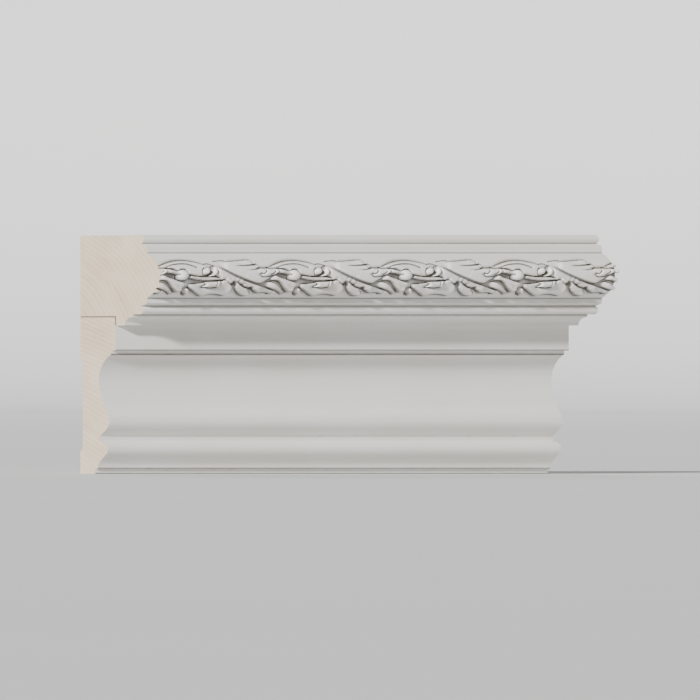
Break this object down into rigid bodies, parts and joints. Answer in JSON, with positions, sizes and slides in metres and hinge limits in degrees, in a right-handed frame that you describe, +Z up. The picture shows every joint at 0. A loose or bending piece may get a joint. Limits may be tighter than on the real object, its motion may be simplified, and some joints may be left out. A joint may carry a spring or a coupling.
{
  "type": "chair rail",
  "caption": "Length of two-piece chair rail: a deep cap with a torus carved in running acanthus, over a moulded lower board, with a flat back for fixing to a wall.",
  "frame": {"origin": "middle of the cap's flat back, on the wall plane, halfway along the rail", "axes": "+X along the rail to the right as seen from the room, +Y into the wall, +Z up"},
  "size_m": [0.25, 0.0479, 0.1316],
  "materials": {
    "cap_paint": "satin off-white paint on a fine-grained hardwood, bare on the sawn ends and the back",
    "board_paint": "satin off-white paint on a fine-grained hardwood, bare on the sawn ends and the back"
  },
  "bodies": {
    "root": {"carved_cap": "cap_paint", "lower_board": "board_paint"}
  },
  "joints": []
}
